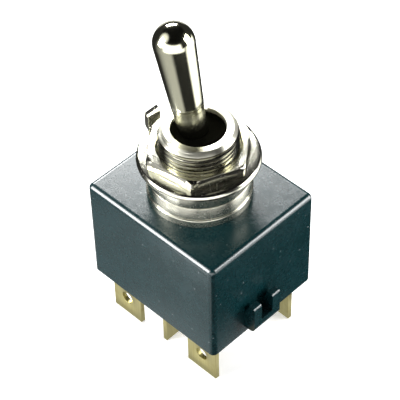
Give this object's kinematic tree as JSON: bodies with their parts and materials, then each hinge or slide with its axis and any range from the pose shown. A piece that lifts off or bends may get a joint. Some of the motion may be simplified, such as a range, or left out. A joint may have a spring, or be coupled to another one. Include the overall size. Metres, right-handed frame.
{
  "type": "panel toggle switch",
  "caption": "Panel-mount toggle switch with a bat lever on a threaded bushing, locking ring, hex nut, dark moulded case and brass blade terminals with eyes.",
  "frame": {"origin": "on the bushing's axis, on the top of its shoulder, where the panel hardware seats", "axes": "+Z out of the panel along the bushing, towards the lever; the lever swings in the XZ plane and leans to -X at rest; +X towards the end wall with the hook, +Y across the case"},
  "size_m": [0.0302, 0.0218, 0.0569],
  "materials": {
    "case": "gloss",
    "base": "matte",
    "nickel": "polished nickel",
    "steel": "plated",
    "rubber": "matte",
    "hardware": "bright nickel",
    "brass": "satin",
    "contact": "silver",
    "lever": "polished",
    "carrier": "matte",
    "plunger": "satin",
    "spring": "satin"
  },
  "bodies": {
    "housing": {"case": "case", "base": "base", "bushing": "nickel", "retainer_plate": "steel", "case_seal": "rubber", "bushing_seal": "rubber", "locking_ring": "hardware", "hex_nut": "hardware", "terminal_1": "brass", "terminal_2": "brass", "terminal_3": "brass", "terminal_4": "brass", "terminal_5": "brass", "terminal_6": "brass", "fixed_contact_1": "contact", "fixed_contact_3": "contact", "fixed_contact_4": "contact", "fixed_contact_6": "contact"},
    "lever": {"lever": "lever", "carrier": "carrier", "pivot_pin": "steel", "lever_boot": "rubber", "plunger_spring_a": "spring", "plunger_spring_b": "spring"},
    "plunger_a": {"plunger_a": "plunger"},
    "plunger_b": {"plunger_b": "plunger"},
    "rocker_a": {"rocker_a": "brass", "moving_contact_1": "contact", "moving_contact_3": "contact"},
    "rocker_b": {"rocker_b": "brass", "moving_contact_4": "contact", "moving_contact_6": "contact"}
  },
  "joints": [
    {"name": "lever_throw", "type": "hinge", "parent": "housing", "child": "lever", "pos_m": [0, 0, -0.0006], "axis": [0, 1, 0], "range_deg": [0, 24.8]},
    {"name": "plunger_slide_a", "type": "slide", "parent": "lever", "child": "plunger_a", "axis": [-0.2147, 0, 0.9767], "range_m": [0, 0.0007], "stiffness_N_per_m": 400, "springref_m": -0.003, "deforming": ["plunger_spring_a"]},
    {"name": "plunger_slide_b", "type": "slide", "parent": "lever", "child": "plunger_b", "axis": [-0.2147, 0, 0.9767], "range_m": [0, 0.0007], "stiffness_N_per_m": 400, "springref_m": -0.003, "deforming": ["plunger_spring_b"]},
    {"name": "rocker_tilt_a", "type": "hinge", "parent": "housing", "child": "rocker_a", "pos_m": [0, -0.0055, -0.02], "axis": [0, 1, 0], "range_deg": [-10, 0]},
    {"name": "rocker_tilt_b", "type": "hinge", "parent": "housing", "child": "rocker_b", "pos_m": [0, 0.0055, -0.02], "axis": [0, 1, 0], "range_deg": [-10, 0]}
  ],
  "couplings": [
    {"joint": "rocker_tilt_a", "follows": "lever_throw", "ratio": -0.4032},
    {"joint": "rocker_tilt_b", "follows": "lever_throw", "ratio": -0.4032}
  ]
}
